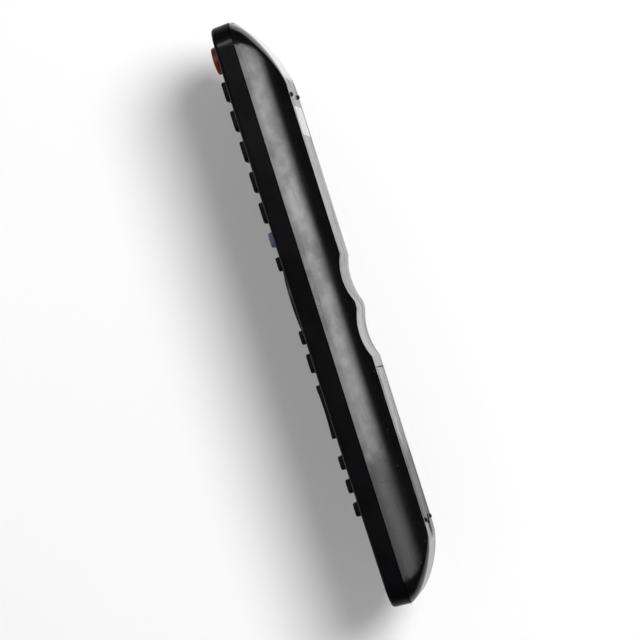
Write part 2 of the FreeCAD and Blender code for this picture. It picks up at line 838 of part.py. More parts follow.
def make_all():
    """Every piece by its name."""
    pieces = {
        "top_case": top_case(),
        "bottom_case": bottom_case(),
        "battery_cover": battery_cover(),
        "battery_left": battery_cell(-cell_pitch / 2, False),
        "battery_right": battery_cell(cell_pitch / 2, True),
        "battery_springs": battery_springs(),
        "battery_plates": battery_plates(),
        "circuit_board": circuit_board(),
        "keypad_mat": keypad_mat(),
        "ir_led": ir_led(),
        "ir_window": ir_window(),
        "controller_chip": controller_chip(),
        "resonator": resonator(),
        "capacitor": capacitor(),
        "rest_feet": rest_feet(),
        "volume_rocker": rocker_key(column_pitch),
        "channel_rocker": rocker_key(-column_pitch),
        "nav_ring": nav_ring(),
        "nav_pad": nav_pad(),
    }
    for name, x, y, width, length, corner, rise in key_list():
        if name in ("power_key", "source_key"):
            pieces[name] = domed_key(x, y, width, rise, top_key_dome, top_key_edge, flange_reach)
        elif name == "ok_key":
            pieces[name] = domed_key(x, y, width, rise, ok_dome, key_edge, ok_flange_reach)
        else:
            pieces[name] = plain_key(x, y, width, length, corner, rise)
    return pieces


os.makedirs("parts", exist_ok=True)
for node, shape in make_all().items():
    shape.exportStep("parts/%s.step" % node)
    bounds = shape.BoundBox
    print("%-20s solids %d valid %s volume %8.1f  z %6.2f to %6.2f" %
          (node, len(shape.Solids), shape.isValid(), shape.Volume, bounds.ZMin, bounds.ZMax))
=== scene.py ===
import json
import math
import bpy
from mathutils import Matrix, Vector


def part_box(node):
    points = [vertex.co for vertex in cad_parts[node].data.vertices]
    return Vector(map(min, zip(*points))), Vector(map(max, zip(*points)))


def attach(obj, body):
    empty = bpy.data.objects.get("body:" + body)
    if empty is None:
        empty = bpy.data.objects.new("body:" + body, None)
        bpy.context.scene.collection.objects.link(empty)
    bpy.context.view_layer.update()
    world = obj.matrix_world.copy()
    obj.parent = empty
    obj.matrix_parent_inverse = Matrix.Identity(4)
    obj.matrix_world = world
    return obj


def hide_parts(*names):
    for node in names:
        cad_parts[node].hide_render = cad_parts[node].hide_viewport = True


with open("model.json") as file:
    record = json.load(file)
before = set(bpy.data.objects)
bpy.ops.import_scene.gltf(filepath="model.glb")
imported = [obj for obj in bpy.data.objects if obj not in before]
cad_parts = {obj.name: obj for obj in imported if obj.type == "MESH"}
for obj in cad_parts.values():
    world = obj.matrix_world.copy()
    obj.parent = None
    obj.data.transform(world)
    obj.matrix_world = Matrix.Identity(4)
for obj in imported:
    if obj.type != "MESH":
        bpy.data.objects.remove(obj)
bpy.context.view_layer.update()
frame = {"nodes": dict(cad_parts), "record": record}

bodies = frame["record"]["behaviour"]["bodies"]
bodyOf = {node: body for body, nodes in bodies.items() for node in nodes}
slotOf = {entry["node"]: entry["material_slot"] for entry in frame["record"]["subparts"]}
mm = 0.001
print("frame loaded:", len(frame["nodes"]), "nodes")


class Pin:                                   # one output of a shader node
    def __init__(self, tree, socket=None):
        self.tree = tree
        self.socket = socket

    def add(self, kind, settings=None, inputs=None, out=0):
        node = self.tree.nodes.new(kind)
        for name, value in (settings or {}).items():
            setattr(node, name, value)
        for name, value in (inputs or {}).items():
            if isinstance(value, Pin):
                self.tree.links.new(value.socket, node.inputs[name])
            else:
                node.inputs[name].default_value = value
        return Pin(self.tree, node.outputs[out] if len(node.outputs) else None)

    def partner(self, out):                  # another output of the same node
        return Pin(self.tree, self.socket.node.outputs[out])

    def maths(self, operation, *others):
        inputs = dict(enumerate((self, *others)))
        return self.add("ShaderNodeMath", {"operation": operation}, inputs)

    def __add__(self, other):
        return self.maths("ADD", other)

    def __sub__(self, other):
        return self.maths("SUBTRACT", other)

    def __rsub__(self, other):
        return self.add("ShaderNodeMath", {"operation": "SUBTRACT"}, {0: other, 1: self})

    def __mul__(self, other):
        return self.maths("MULTIPLY", other)

    def __truediv__(self, other):
        return self.maths("DIVIDE", other)

    def __gt__(self, other):
        return self.maths("GREATER_THAN", other)

    def __lt__(self, other):
        return self.maths("LESS_THAN", other)

    def __abs__(self):
        return self.maths("ABSOLUTE")

    __radd__ = __add__
    __rmul__ = __mul__

    def between(self, low, high):            # 0 at low, 1 at high, smooth between
        return self.add("ShaderNodeMapRange", {"interpolation_type": "SMOOTHSTEP"},
                        {"Value": self, "From Min": low, "From Max": high})


finishes = {}
plasticIndex = 1.5
grainRoughness = 0.55
dustValues = {"colour": (0.3, 0.3, 0.3), "roughness": 0.2, "core": 0.6, "spacing": 0.15,
              "where": (0.56, 0.6)}
even, unturned = (1, 1, 1), (0, 0, 0)


def newFinish(name):
    finish = bpy.data.materials.new(name)
    finish.use_nodes = True
    finish.node_tree.nodes.clear()
    finishes[name] = finish
    return Pin(finish.node_tree)


def closeFinish(start, inputs):
    shader = start.add("ShaderNodeBsdfPrincipled", None, inputs)
    start.add("ShaderNodeOutputMaterial", None, {"Surface": shader})


def axesOf(vector):
    parts = vector.add("ShaderNodeSeparateXYZ", None, {0: vector})
    return [parts.partner(axis) for axis in range(3)]


def placeOf(start):                          # x, y and z of the point, in metres
    return axesOf(start.add("ShaderNodeTexCoord", out="Object"))


def lengthOf(across, along):
    return (across * across + along * along).maths("SQRT")


def grainOf(start, scale, detail=2.0, stretch=even, turn=unturned):
    place = start.add("ShaderNodeTexCoord", out="Object")
    turned = start.add("ShaderNodeMapping", None,
                       {"Vector": place, "Scale": stretch, "Rotation": turn})
    return start.add("ShaderNodeTexNoise", None, {"Vector": turned, "Scale": scale, "Detail": detail,
                                                  "Roughness": grainRoughness})


def patchOf(start, scale, detail, low, high, stretch=even, turn=unturned):
    return grainOf(start, scale, detail, stretch, turn).between(low, high)


def specksOf(start, scale, size):            # small round dots, a few of them
    place = start.add("ShaderNodeTexCoord", out="Object")
    dots = start.add("ShaderNodeTexVoronoi", None, {"Vector": place, "Scale": scale})
    where = grainOf(start, scale * dustValues["spacing"]).between(*dustValues["where"])
    return dots.between(size, size * dustValues["core"]) * where


def mixColour(start, share, first, second):
    ends = [value if isinstance(value, Pin) else (*value, 1) for value in (first, second)]
    return start.add("ShaderNodeMix", {"data_type": "RGBA"},
                     {0: share, 6: ends[0], 7: ends[1]}, out=2)


def bumpOf(start, height, depth):
    return start.add("ShaderNodeBump", None, {"Height": height, "Distance": depth})


# Moulded plastic and silicone: fine grain, faint clouds of wear, a little dust
mouldValues = {"cloud": (45.0, 4.0, 0.35, 0.7), "dust": (330.0, 0.035)}
keyValues = dict(roughness=0.44, spread=0.1, grain=2200.0, depth=0.012 * mm, gloss=0.3, dust=0.1)
plasticValues = {
    "case_top": dict(colour=(0.0022, 0.0019, 0.0024), worn=(0.0034, 0.0030, 0.0036), roughness=0.28,
                     spread=0.07, grain=2600.0, depth=0.02 * mm, gloss=0.05, dust=0.3),
    "ring_black": dict(colour=(0.0045, 0.0045, 0.0048), worn=(0.0075, 0.0075, 0.008), roughness=0.4,
                       spread=0.1, grain=2400.0, depth=0.01 * mm, gloss=0.13, dust=0.25),
    "key_black": dict(keyValues, colour=(0.0038, 0.0036, 0.0039), worn=(0.0065, 0.0063, 0.0066),
                      roughness=0.5, gloss=0.06, dust=0.3),
    "key_power_red": dict(keyValues, colour=(0.17, 0.011, 0.006), worn=(0.22, 0.018, 0.010),
                          gloss=0.16),
    "key_red": dict(keyValues, colour=(0.26, 0.013, 0.012), worn=(0.31, 0.022, 0.018)),
    "key_green": dict(keyValues, colour=(0.012, 0.13, 0.045), worn=(0.02, 0.155, 0.06)),
    "key_yellow": dict(keyValues, colour=(0.48, 0.31, 0.018), worn=(0.53, 0.36, 0.03)),
    "key_blue": dict(keyValues, colour=(0.075, 0.110, 0.19), worn=(0.09, 0.13, 0.215)),
    "silicone_mat": dict(colour=(0.040, 0.040, 0.044), worn=(0.052, 0.052, 0.056), roughness=0.6,
                         spread=0.1, grain=1800.0, depth=0.01 * mm, gloss=0.3, dust=0.1),
    "foot_rubber": dict(colour=(0.006, 0.006, 0.006), worn=(0.011, 0.011, 0.0105), roughness=0.34,
                        spread=0.2, grain=1500.0, depth=0.01 * mm, gloss=0.5, dust=0.2),
    "window_dark": dict(colour=(0.0035, 0.0012, 0.0016), worn=(0.005, 0.0018, 0.0024),
                        roughness=0.08, spread=0.06, grain=300.0, depth=0.002 * mm, gloss=0.5,
                        dust=0.3),
    "emitter_resin": dict(colour=(0.045, 0.035, 0.085), worn=(0.06, 0.045, 0.11), roughness=0.09,
                          spread=0.05, grain=500.0, depth=0.002 * mm, gloss=0.6, dust=0.0),
    "ceramic_amber": dict(colour=(0.42, 0.17, 0.022), worn=(0.50, 0.22, 0.035), roughness=0.22,
                          spread=0.1, grain=900.0, depth=0.02 * mm, gloss=0.5, dust=0.0),
}


def mouldedPlastic(name, values):
    start = newFinish(name)
    cloud = patchOf(start, *mouldValues["cloud"])
    dust = specksOf(start, *mouldValues["dust"])
    colour = mixColour(start, cloud, values["colour"], values["worn"])
    colour = mixColour(start, dust * values["dust"], colour, dustValues["colour"])
    roughness = values["roughness"] + cloud * values["spread"] + dust * dustValues["roughness"]
    closeFinish(start, {"Base Color": colour, "Roughness": roughness, "IOR": plasticIndex,
                        "Specular IOR Level": values["gloss"],
                        "Normal": bumpOf(start, grainOf(start, values["grain"]), values["depth"])})


for slotName, values in plasticValues.items():
    mouldedPlastic(slotName, values)

# Satin back: thin gloss that handling has dulled in patches, hairlines, and three short nicks.
# Patterns are scale, detail, the two levels they fade between, stretch and turn. Places are in mm.
backValues = {"colour": (0.0018, 0.0018, 0.0020), "worn": (0.0034, 0.0034, 0.0037),
              "roughness": 0.13, "spread": 0.14, "gloss": 0.26, "hairline": 0.0006 * mm,
              "coatLow": 0.26, "coatHigh": 0.84, "coatRoughness": 0.13,
              "cloud": (210.0, 5.0, 0.36, 0.66, (1, 0.7, 1)), "cloudShare": 0.45,
              "broad": (42.0, 3.0, 0.34, 0.66, (1, 0.6, 1)), "broadShare": 0.55,
              "streak": (700.0, 2.0, 0.62, 0.75, (1, 0.05, 1), (0.25, 0, 0.1)),
              "crossing": (800.0, 2.0, 0.66, 0.76, (1, 1, 0.06), (0.5, 0.1, 0)),
              "lint": (1500.0, 1.0, 0.72, 0.76, (1, 0.3, 0.6), (0.7, 0, 0.4)), "lintShare": 0.05,
              "dust": (300.0, 0.03), "dustShare": 0.07, "grain": 1400.0,
              "dulls": {"streak": 0.2, "nick": 0.5, "dull": 0.7},
              "roughens": {"flat": 0.04, "streak": 0.06, "nick": 0.1, "seam": 0.6, "rubbed": 0.11},
              "raises": {"streak": -1, "crossing": -0.7, "nick": -4, "grain": 2}}
backPlaces = {"dullFrom": -50.0, "dullTo": -62.0, "dullWander": 4.0, "dullFilm": 0.5,
              "flatFacing": (-0.78, -0.9), "flatTail": (-92.0, -89.0), "flatHead": (86.0, 84.0),
              "flatShare": 0.78, "runFacing": (-0.3, -0.5), "runHead": (84.0, 87.0),
              "rubbedTail": (-84.5, -81.5), "rubbedShare": 0.15,
              "seamX": 13.5, "seamFade": (1.0, 0.5), "seamTop": 1.3, "seamY": (-82.4, -25.1),
              "nicks": ((18.3, 8.5, 0.16, 1.1), (2.0, 13.2, 0.2, 0.7), (-65.4, 10.0, 0.14, 2.0)),
              "nickSide": 10.0, "nickCore": (0.5, 0.8)}


def nicksOf(x, y, z, places):                # short scratches on the right-hand side
    nick = None
    wide, high = places["nickCore"]
    side = x > places["nickSide"] * mm
    for along, rise, width, tall in places["nicks"]:
        spot = (abs(y - along * mm).between(width * mm, width * wide * mm)
                * abs(z - rise * mm).between(tall * mm, tall * high * mm) * side)
        nick = spot if nick is None else nick.maths("MAXIMUM", spot)
    return nick


def satinBack(name, values, places):
    start = newFinish(name)
    x, y, z = placeOf(start)
    facing = axesOf(start.add("ShaderNodeTexCoord", out="Normal"))[2]

    def alongBack(edges):
        return y.between(edges[0] * mm, edges[1] * mm)

    marks = {}
    for mark in ("cloud", "broad", "streak", "crossing", "lint"):
        marks[mark] = patchOf(start, *values[mark])
    marks["grain"] = grainOf(start, values["grain"])
    marks["nick"] = nicksOf(x, y, z, places)
    dust = specksOf(start, *values["dust"]) * values["dustShare"]
    dust = dust + marks["lint"] * values["lintShare"]
    colour = mixColour(start, marks["cloud"], values["colour"], values["worn"])
    colour = mixColour(start, dust, colour, dustValues["colour"])

    wander = (marks["cloud"] - 0.5) * places["dullWander"] * mm
    marks["dull"] = (y + wander).between(places["dullFrom"] * mm, places["dullTo"] * mm)
    marks["flat"] = (facing.between(*places["flatFacing"]) * alongBack(places["flatTail"])
                     * alongBack(places["flatHead"]))
    marks["rubbed"] = marks["dull"] * marks["flat"] * alongBack(places["rubbedTail"])
    seam = abs(abs(x) - places["seamX"] * mm).between(*[edge * mm for edge in places["seamFade"]])
    seam = seam * (z < places["seamTop"] * mm) * (y > places["seamY"][0] * mm)
    marks["seam"] = seam * (y < places["seamY"][1] * mm)

    film = marks["cloud"] * values["cloudShare"] + marks["broad"] * values["broadShare"]
    film = film * (1 - marks["dull"] * places["dullFilm"])
    coat = values["coatLow"] + film * (values["coatHigh"] - values["coatLow"])
    for mark, share in values["dulls"].items():
        coat = coat * (1 - marks[mark] * share)
    handled = marks["flat"] * places["flatShare"] + marks["rubbed"] * places["rubbedShare"]
    run = alongBack(places["runHead"]) * facing.between(*places["runFacing"])
    coat = run + (1 - run) * coat * (1 - handled)
    roughness = values["roughness"] + (1 - film) * values["spread"]
    for mark, share in values["roughens"].items():
        roughness = roughness + marks[mark] * share
    height = sum(marks[mark] * share for mark, share in values["raises"].items())
    closeFinish(start, {"Base Color": colour, "Roughness": roughness, "IOR": plasticIndex,
                        "Specular IOR Level": values["gloss"],
                        "Coat Weight": coat * (1 - marks["seam"]),
                        "Coat Roughness": values["coatRoughness"], "Coat IOR": plasticIndex,
                        "Normal": bumpOf(start, height, values["hairline"])})


satinBack("case_back", backValues, backPlaces)

# Inner pieces. Places are in mm.
cellValues = {"axis": 5.5, "height": 8.1, "rim": 4.72, "band": 12.5, "leftNub": -30.35,
              "rightNub": -80.45, "lineGap": 0.9, "lineHalf": 0.25, "jacket": (0.012, 0.016, 0.032),
              "copper": (0.42, 0.17, 0.045), "line": (0.55, 0.54, 0.5), "steel": (0.62, 0.61, 0.58),
              "scuff": (900.0, 3.0, 0.62, 0.72, (1, 0.1, 1)), "scuffColour": (0.3, 0.3, 0.3),
              "scuffShare": 0.25, "roughness": 0.2, "scuffSpread": 0.25, "steelSpread": 0.12,
              "bandMetal": 0.6, "grain": (1500.0, 2.0, (1, 0.2, 1)), "depth": 0.004 * mm}


def cellJacket(name, values):
    start = newFinish(name)
    x, y, z = placeOf(start)
    side = x > 0
    fromNub = (1 - side) * (values["leftNub"] * mm - y) + side * (y - values["rightNub"] * mm)
    metal = lengthOf(abs(x) - values["axis"] * mm, z - values["height"] * mm) < values["rim"] * mm
    band = fromNub < values["band"] * mm
    line = abs(fromNub - (values["band"] + values["lineGap"]) * mm) < values["lineHalf"] * mm
    scuff = patchOf(start, *values["scuff"])
    colour = mixColour(start, band, values["jacket"], values["copper"])
    colour = mixColour(start, line, colour, values["line"])
    colour = mixColour(start, scuff * values["scuffShare"], colour, values["scuffColour"])
    colour = mixColour(start, metal, colour, values["steel"])
    roughness = values["roughness"] + scuff * values["scuffSpread"] + metal * values["steelSpread"]
    closeFinish(start, {"Base Color": colour, "Roughness": roughness,
                        "Metallic": metal.maths("MAXIMUM", band * values["bandMetal"]),
                        "Normal": bumpOf(start, grainOf(start, *values["grain"]), values["depth"])})


nickelValues = {"brush": (1500.0, 3.0, (1, 1, 0.08)), "stain": (160.0, 4.0, 0.5, 0.75),
                "bright": (0.66, 0.65, 0.61), "stained": (0.42, 0.37, 0.29), "roughness": 0.24,
                "spread": 0.2, "depth": 0.006 * mm}


def nickelPlate(name, values):
    start = newFinish(name)
    stain = patchOf(start, *values["stain"])
    colour = mixColour(start, stain, values["bright"], values["stained"])
    roughness = values["roughness"] + stain * values["spread"]
    closeFinish(start, {"Base Color": colour, "Roughness": roughness, "Metallic": 1.0,
                        "Normal": bumpOf(start, grainOf(start, *values["brush"]), values["depth"])})


boardValues = {"cells": 150.0, "lanes": 900.0, "laneFade": (0.62, 0.7), "weave": 2600.0,
               "thread": 0.15, "mask": (0.012, 0.075, 0.022), "trace": (0.045, 0.20, 0.06),
               "glass": (0.03, 0.10, 0.04), "glassShare": 0.5, "roughness": 0.28, "spread": 0.2,
               "depth": 0.03 * mm}


def boardLaminate(name, values):             # solder mask over copper lanes and glass weave
    start = newFinish(name)
    place = start.add("ShaderNodeTexCoord", out="Object")
    x, y = axesOf(place)[:2]
    cells = start.add("ShaderNodeTexVoronoi", {"distance": "CHEBYCHEV"},
                      {"Vector": place, "Scale": values["cells"]}, out="Color")
    choice = axesOf(cells)[0] > 0.5          # lanes run across or along, cell by cell
    across, along = [(axis * values["lanes"]).maths("PINGPONG", 1.0).between(*values["laneFade"])
                     for axis in (x, y)]
    trace = choice * across + (1 - choice) * along
    weave = (grainOf(start, values["weave"], 1.0, (1, values["thread"], 1))
             * grainOf(start, values["weave"], 1.0, (values["thread"], 1, 1)))
    colour = mixColour(start, trace, values["mask"], values["trace"])
    colour = mixColour(start, weave * values["glassShare"], colour, values["glass"])
    roughness = values["roughness"] + weave * values["spread"]
    closeFinish(start, {"Base Color": colour, "Roughness": roughness,
                        "Normal": bumpOf(start, trace, values["depth"])})


chipValues = {"leadFrom": 3.01, "dotX": -2.1, "dotY": 66.9, "dotRadius": 0.45,
              "grain": (3500.0, 2.0), "resin": (0.010, 0.010, 0.011), "dusty": (0.022, 0.022, 0.023),
              "dot": (0.07, 0.07, 0.07), "lead": (0.66, 0.65, 0.62), "roughness": 0.55,
              "leadGloss": 0.25, "depth": 0.01 * mm}


def chipBlack(name, values):                 # moulded resin with its first-pin dot and tinned leads
    start = newFinish(name)
    x, y = placeOf(start)[:2]
    lead = abs(x) > values["leadFrom"] * mm
    fine = grainOf(start, *values["grain"])
    dot = lengthOf(x - values["dotX"] * mm, y - values["dotY"] * mm) < values["dotRadius"] * mm
    colour = mixColour(start, fine, values["resin"], values["dusty"])
    colour = mixColour(start, dot, colour, values["dot"])
    colour = mixColour(start, lead, colour, values["lead"])
    roughness = values["roughness"] - lead * values["leadGloss"]
    closeFinish(start, {"Base Color": colour, "Roughness": roughness, "Metallic": lead,
                        "Normal": bumpOf(start, fine, values["depth"])})


capacitorValues = {"y": 86.2, "foot": 9.95, "canRadius": 2.05, "stripeX": 1.5, "stripeHalf": 1.5,
                   "tint": 700.0, "sleeve": (0.012, 0.016, 0.05), "light": (0.018, 0.024, 0.07),
                   "stripe": (0.45, 0.47, 0.5), "can": (0.7, 0.7, 0.7), "roughness": 0.25,
                   "smears": 300.0, "spread": 0.1}


def capacitorSleeve(name, values):           # sleeve with its pale stripe, bare can below
    start = newFinish(name)
    x, y, z = placeOf(start)
    along = y - values["y"] * mm
    metal = (z < values["foot"] * mm) * (lengthOf(x, along) < values["canRadius"] * mm)
    stripe = (x > values["stripeX"] * mm) * (abs(along) < values["stripeHalf"] * mm)
    colour = mixColour(start, grainOf(start, values["tint"]), values["sleeve"], values["light"])
    colour = mixColour(start, stripe, colour, values["stripe"])
    colour = mixColour(start, metal, colour, values["can"])
    roughness = values["roughness"] + grainOf(start, values["smears"]) * values["spread"]
    closeFinish(start, {"Base Color": colour, "Roughness": roughness, "Metallic": metal})


inkValues = {"rub": (900.0, 4.0, 0.5, 0.8), "fresh": (0.62, 0.62, 0.60),
             "rubbed": (0.34, 0.34, 0.33), "roughness": 0.5, "spread": 0.15, "grain": 3000.0,
             "depth": 0.004 * mm}


def paleInk(name, values):                   # printed legends, a little rubbed
    start = newFinish(name)
    rub = patchOf(start, *values["rub"])
    colour = mixColour(start, rub, values["fresh"], values["rubbed"])
    roughness = values["roughness"] + rub * values["spread"]
    closeFinish(start, {"Base Color": colour, "Roughness": roughness,
                        "Normal": bumpOf(start, grainOf(start, values["grain"]), values["depth"])})


filmValues = {"fibre": (1100.0, 3.0, (1, 0.35, 1)), "grime": (120.0, 4.0, 0.45, 0.8),
              "edge": (11.6, 13.0), "paper": (0.60, 0.60, 0.58), "light": (0.68, 0.68, 0.66),
              "soiled": (0.36, 0.35, 0.33), "grimeShare": 0.35, "edgeShare": 0.3,
              "roughness": 0.34, "spread": 0.15, "ripple": (240.0, 4.0, (1, 0.6, 1)),
              "depth": 0.12 * mm}


def labelFilm(name, values):                 # pale film, soiled towards its ends
    start = newFinish(name)
    x = placeOf(start)[0]
    grime = patchOf(start, *values["grime"])
    edge = abs(x).between(*[place * mm for place in values["edge"]])
    soil = (grime * values["grimeShare"]).maths("MAXIMUM", edge * values["edgeShare"])
    colour = mixColour(start, grainOf(start, *values["fibre"]), values["paper"], values["light"])
    colour = mixColour(start, soil, colour, values["soiled"])
    ripple = grainOf(start, *values["ripple"])
    closeFinish(start, {"Base Color": colour,
                        "Roughness": values["roughness"] + grime * values["spread"],
                        "Normal": bumpOf(start, ripple, values["depth"])})


cellJacket("cell_jacket", cellValues)
nickelPlate("contact_nickel", nickelValues)
boardLaminate("board_laminate", boardValues)
chipBlack("chip_black", chipValues)
capacitorSleeve("capacitor_sleeve", capacitorValues)
paleInk("pale_ink", inkValues)
labelFilm("label_film", filmValues)
print("finishes made:", len(finishes))


def showOnly(piece):
    bpy.ops.object.select_all(action="DESELECT")
    bpy.context.view_layer.objects.active = piece
    piece.select_set(True)


def applyModifier(piece, kind, settings):
    change = piece.modifiers.new(kind.lower(), kind)
    for name, value in settings.items():
        setattr(change, name, value)
    showOnly(piece)
    bpy.ops.object.modifier_apply(modifier=change.name)


# True rounds of both shells: middle, radius, which axes count, side (-1 hollow) and play, in mm.
# Towards the curved ends the mesh's own shading takes over.
roundValues = {"ends": (86.0, 97.0), "facing": 0.975}
crown = {"reach": 112.4, "rise": 0.55, "top": 21.9}
crownRadius = (crown["reach"] ** 2 + crown["rise"] ** 2) / (2 * crown["rise"])
faceRounds = [((0, 0, crown["top"] - crownRadius), crownRadius, (0, 1, 1), 1, 0.03)]
backRounds = [((0, -12.05, -20.95), 23.65, (0, 1, 1), -1, 0.03),
              ((0, 8.75, -19.96), 22.66, (0, 1, 1), -1, 0.03),
              ((0, -85.3, -9.665), 11.865, (1, 1, 1), -1, 0.03),
              ((1.58, 0, 16.3), 22.5, (1, 0, 1), 1, 0.08),
              ((-1.58, 0, 16.3), 22.5, (1, 0, 1), 1, 0.08)]


def steadyRounds(piece, rounds, ends):       # shading of the rounds taken from their true middles
    mesh = piece.data
    normals = [Vector(corner.vector) for corner in mesh.corner_normals]
    for face in mesh.polygons:
        for corner, index in zip(face.loop_indices, face.vertices):
            spot = mesh.vertices[index].co
            for middle, radius, axes, side, play in rounds:
                way = (spot - Vector(middle) * mm) * Vector(axes) * side
                if abs(way.length - radius * mm) > play * mm:
                    continue
                outward = way.normalized()
                if outward.dot(face.normal) > roundValues["facing"]:
                    share = (abs(spot.y) / mm - ends[0]) / (ends[1] - ends[0])
                    share = min(max(share, 0), 1)
                    normals[corner] = outward.lerp(normals[corner], share).normalized()
    mesh.normals_split_custom_set(normals)


def dress(piece, nodeName, finishName=None):
    piece.data.materials.clear()
    piece.data.materials.append(finishes[finishName or slotOf[nodeName]])
    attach(piece, bodyOf[nodeName])


# Points closer than this are one, and edges flatter than this angle are shaded smooth
copyValues = {"near": 0.001 * mm, "flatter": math.radians(16)}
softEdge = math.radians(40)


def mergedCopy(nodeName, values):
    piece = bpy.data.objects.new(nodeName + "_shape", frame["nodes"][nodeName].data.copy())
    bpy.context.scene.collection.objects.link(piece)
    showOnly(piece)
    bpy.ops.object.mode_set(mode="EDIT")
    bpy.ops.mesh.select_all(action="SELECT")
    bpy.ops.mesh.remove_doubles(threshold=values["near"])
    bpy.ops.object.mode_set(mode="OBJECT")
    bpy.ops.object.shade_smooth_by_angle(angle=values["flatter"])
    applyModifier(piece, "WEIGHTED_NORMAL", {"keep_sharp": True, "mode": "FACE_AREA"})
    dress(piece, nodeName)
    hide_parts(nodeName)
    return piece


shapes = {}
for nodeName in sorted(frame["nodes"]):
    if nodeName != "battery_springs":
        shapes[nodeName] = mergedCopy(nodeName, copyValues)
steadyRounds(shapes["bottom_case"], backRounds, roundValues["ends"])
steadyRounds(shapes["top_case"], faceRounds, (crown["reach"], 2 * crown["reach"]))
print("pieces dressed:", len(shapes))

# Coil springs on their contact plates
coilValues = {"x": 5.5, "z": 8.1, "large": 3.2, "small": 1.9, "wire": 0.3, "rise": 4.9, "turns": 5,
              "wireSides": 12, "steps": 28, "plate": (8.6, 0.35, 8.4), "plateTop": 13.7,
              "plateBevel": 0.12, "tailPlate": -80.625, "headPlate": -29.925}


def contactPlate(x, y, values):
    middle = values["plateTop"] - values["plate"][2] / 2
    bpy.ops.object.select_all(action="DESELECT")
    bpy.ops.mesh.primitive_cube_add(size=mm, location=(x * mm, y * mm, middle * mm),
                                    scale=values["plate"])
    plate = bpy.context.object
    bpy.ops.object.transform_apply(location=True, rotation=True, scale=True)
    applyModifier(plate, "BEVEL", {"width": values["plateBevel"] * mm, "segments": 2})
    return plate


def springCoil(x, y, way, values):
    bpy.ops.object.select_all(action="DESELECT")
    bpy.ops.mesh.primitive_circle_add(
        vertices=values["wireSides"], radius=values["wire"] * mm, fill_type="NOTHING",
        location=(values["large"] * mm, 0, 0), rotation=(math.pi / 2, 0, 0))
    coil = bpy.context.object
    bpy.ops.object.transform_apply(location=True, rotation=True, scale=True)
    applyModifier(coil, "SCREW", {
        "axis": "Z", "iterations": values["turns"], "steps": values["steps"],
        "render_steps": values["steps"], "screw_offset": values["rise"] / values["turns"] * mm})
    for point in coil.data.vertices:         # drawn in towards its free end, wire kept round
        share = min(max(point.co.z / (values["rise"] * mm), 0), 1)
        reach = math.hypot(point.co.x, point.co.y)
        closer = (reach - share * (values["large"] - values["small"]) * mm) / reach
        point.co.x *= closer
        point.co.y *= closer
    bpy.ops.object.mode_set(mode="EDIT")
    bpy.ops.mesh.select_all(action="SELECT")
    bpy.ops.mesh.fill_holes(sides=values["wireSides"])
    bpy.ops.mesh.normals_make_consistent(inside=False)
    bpy.ops.object.mode_set(mode="OBJECT")
    coil.rotation_euler = (-math.pi / 2 * way, 0, 0)
    root = y + way * (values["plate"][1] / 2 + values["wire"])
    coil.location = (x * mm, root * mm, values["z"] * mm)
    bpy.ops.object.transform_apply(location=True, rotation=True, scale=True)
    return coil


springs = []
for side, plateName in ((-1, "tailPlate"), (1, "headPlate")):
    x, y = side * coilValues["x"], coilValues[plateName]
    springs += [contactPlate(x, y, coilValues), springCoil(x, y, -side, coilValues)]
bpy.ops.object.select_all(action="DESELECT")
for piece in springs:
    piece.select_set(True)
bpy.context.view_layer.objects.active = springs[0]
bpy.ops.object.join()
springSet = bpy.context.object
springSet.name = "spring_contacts"
bpy.ops.object.origin_set(type="ORIGIN_CURSOR")
bpy.ops.object.shade_smooth_by_angle(angle=softEdge)
dress(springSet, "battery_springs")
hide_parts("battery_springs")
print("springs wound")

# Legends: thin raised prints on the keys. Places and sizes in mm from the middle of the key.
printValues = {"rise": 0.04, "wall": 0.08, "line": 0.42, "sides": 40, "curve": 4, "above": 2.0}


def flatBar(x, y, width, height, turn=0):
    bpy.ops.mesh.primitive_plane_add(size=mm, location=(x * mm, y * mm, 0),
                                     rotation=(0, 0, math.radians(turn)))
    bar = bpy.context.object
    bar.scale = (width, height, 1)
    return [bar]


def flatDisc(x, y, radius):
    bpy.ops.mesh.primitive_circle_add(vertices=printValues["sides"], radius=radius * mm,
                                      fill_type="NGON", location=(x * mm, y * mm, 0))
    return [bpy.context.object]


def flatTriangle(x, y, radius, turn=0, low=1):
    bpy.ops.mesh.primitive_circle_add(
        vertices=3, radius=radius * mm, fill_type="NGON", location=(x * mm, y * mm, 0),
        rotation=(0, 0, math.radians(turn)))
    triangle = bpy.context.object
    triangle.scale = (1, low, 1)
    return [triangle]


def flatRing(x, y, outer, gap=0):            # the gap is in degrees, at the head side
    inner = outer - printValues["line"]
    bpy.ops.mesh.primitive_circle_add(vertices=printValues["sides"], radius=inner * mm,
                                      fill_type="NOTHING", location=(x * mm, y * mm, 0))
    ring = bpy.context.object
    bpy.ops.object.mode_set(mode="EDIT")
    bpy.ops.mesh.select_all(action="SELECT")
    bpy.ops.mesh.extrude_edges_move()
    share = outer / inner
    bpy.ops.transform.resize(value=(share, share, 1))
    bpy.ops.mesh.select_all(action="SELECT")
    bpy.ops.mesh.normals_make_consistent(inside=False)
    bpy.ops.mesh.select_all(action="DESELECT")
    bpy.ops.object.mode_set(mode="OBJECT")
    for face in ring.data.polygons:
        lean = math.degrees(math.atan2(abs(face.center.x), face.center.y))
        face.select = lean < gap / 2
    bpy.ops.object.mode_set(mode="EDIT")
    bpy.ops.mesh.select_mode(type="FACE")
    if gap:
        bpy.ops.mesh.delete(type="FACE")
    bpy.ops.object.mode_set(mode="OBJECT")
    return [ring]


def flatFrame(x, y, width, height):
    line = printValues["line"]
    sides = []
    for way in (1, -1):
        sides += flatBar(x, y + way * (height - line) / 2, width, line)
        sides += flatBar(x - way * (width - line) / 2, y, line, height - 2 * line)
    return sides


